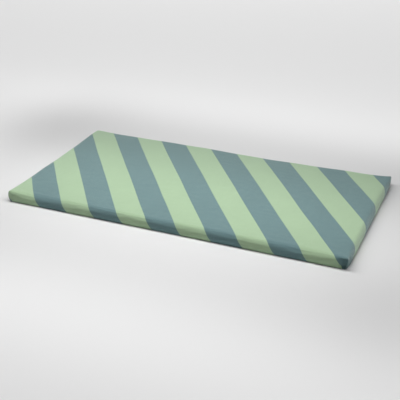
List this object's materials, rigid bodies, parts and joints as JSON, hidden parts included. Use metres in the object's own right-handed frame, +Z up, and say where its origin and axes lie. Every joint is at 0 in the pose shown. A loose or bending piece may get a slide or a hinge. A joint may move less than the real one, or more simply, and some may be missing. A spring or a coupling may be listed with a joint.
{
  "type": "bench cushion",
  "caption": "Thin oblong bench pad in a sewn cloth cover with wide slanting stripes, rolled top edges, seamed corners and a flat underside.",
  "frame": {"origin": "centre of the flat underside, on the surface the pad rests on", "axes": "+X along the long side, +Y across the pad towards the side that is far from the picture's camera, +Z up"},
  "size_m": [0.8998, 0.4796, 0.0297],
  "materials": {
    "cover_cloth": "matte plain-woven cloth in pale green and blue-grey slanting stripes, each 64 mm wide"
  },
  "bodies": {
    "root": {"cushion": "cover_cloth"}
  },
  "joints": []
}
